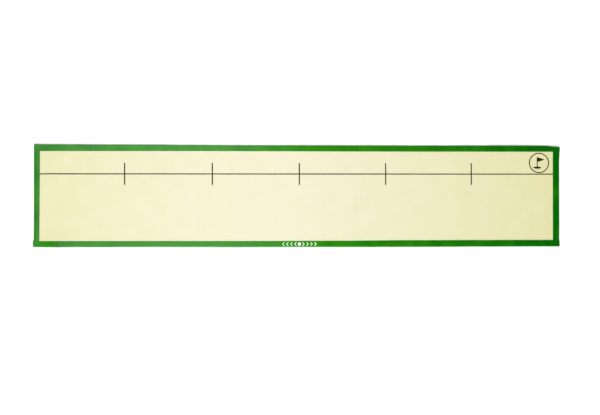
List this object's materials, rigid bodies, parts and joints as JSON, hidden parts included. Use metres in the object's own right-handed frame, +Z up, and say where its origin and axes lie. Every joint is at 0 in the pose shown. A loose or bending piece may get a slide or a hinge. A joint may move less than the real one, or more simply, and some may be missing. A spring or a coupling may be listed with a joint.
{
  "type": "putting mat",
  "caption": "Flat roll-up practice putting mat: a pale glow film on a foam core, bound in green tape, printed with an aim line, foot marks and a ring.",
  "frame": {"origin": "on the floor, under the middle of the mat", "axes": "+X along the mat towards the end with the ring, +Y across it towards the edge nearer the aim line, +Z up"},
  "size_m": [1.846, 0.357, 0.0051],
  "materials": {
    "glow_film": "smooth semi-gloss luminous vinyl film",
    "green_tape": "glossy vinyl tape with a faint cloth weave",
    "green_thread": "twisted polyester thread",
    "white_foam": "closed-cell foam",
    "grey_rubber": "matt rubber with grip dots",
    "black_ink": "screen-printed ink",
    "white_ink": "screen-printed ink"
  },
  "bodies": {
    "root": {"luminous_film": "glow_film", "foam_core": "white_foam", "grip_backing": "grey_rubber", "binding_front": "green_tape", "binding_back": "green_tape", "binding_left": "green_tape", "binding_right": "green_tape", "seam_front": "green_thread", "seam_back": "green_thread", "seam_left": "green_thread", "seam_right": "green_thread", "aim_line_1": "black_ink", "aim_line_2": "black_ink", "aim_line_3": "black_ink", "aim_line_4": "black_ink", "aim_line_5": "black_ink", "aim_line_6": "black_ink", "foot_mark_1": "black_ink", "foot_mark_2": "black_ink", "foot_mark_3": "black_ink", "foot_mark_4": "black_ink", "foot_mark_5": "black_ink", "ring_outline": "black_ink", "ring_flag": "black_ink", "tape_arrow_left_1": "white_ink", "tape_arrow_left_2": "white_ink", "tape_arrow_left_3": "white_ink", "tape_arrow_left_4": "white_ink", "tape_arrow_right_1": "white_ink", "tape_arrow_right_2": "white_ink", "tape_arrow_right_3": "white_ink", "tape_arrow_right_4": "white_ink", "tape_dot": "white_ink"}
  },
  "joints": []
}
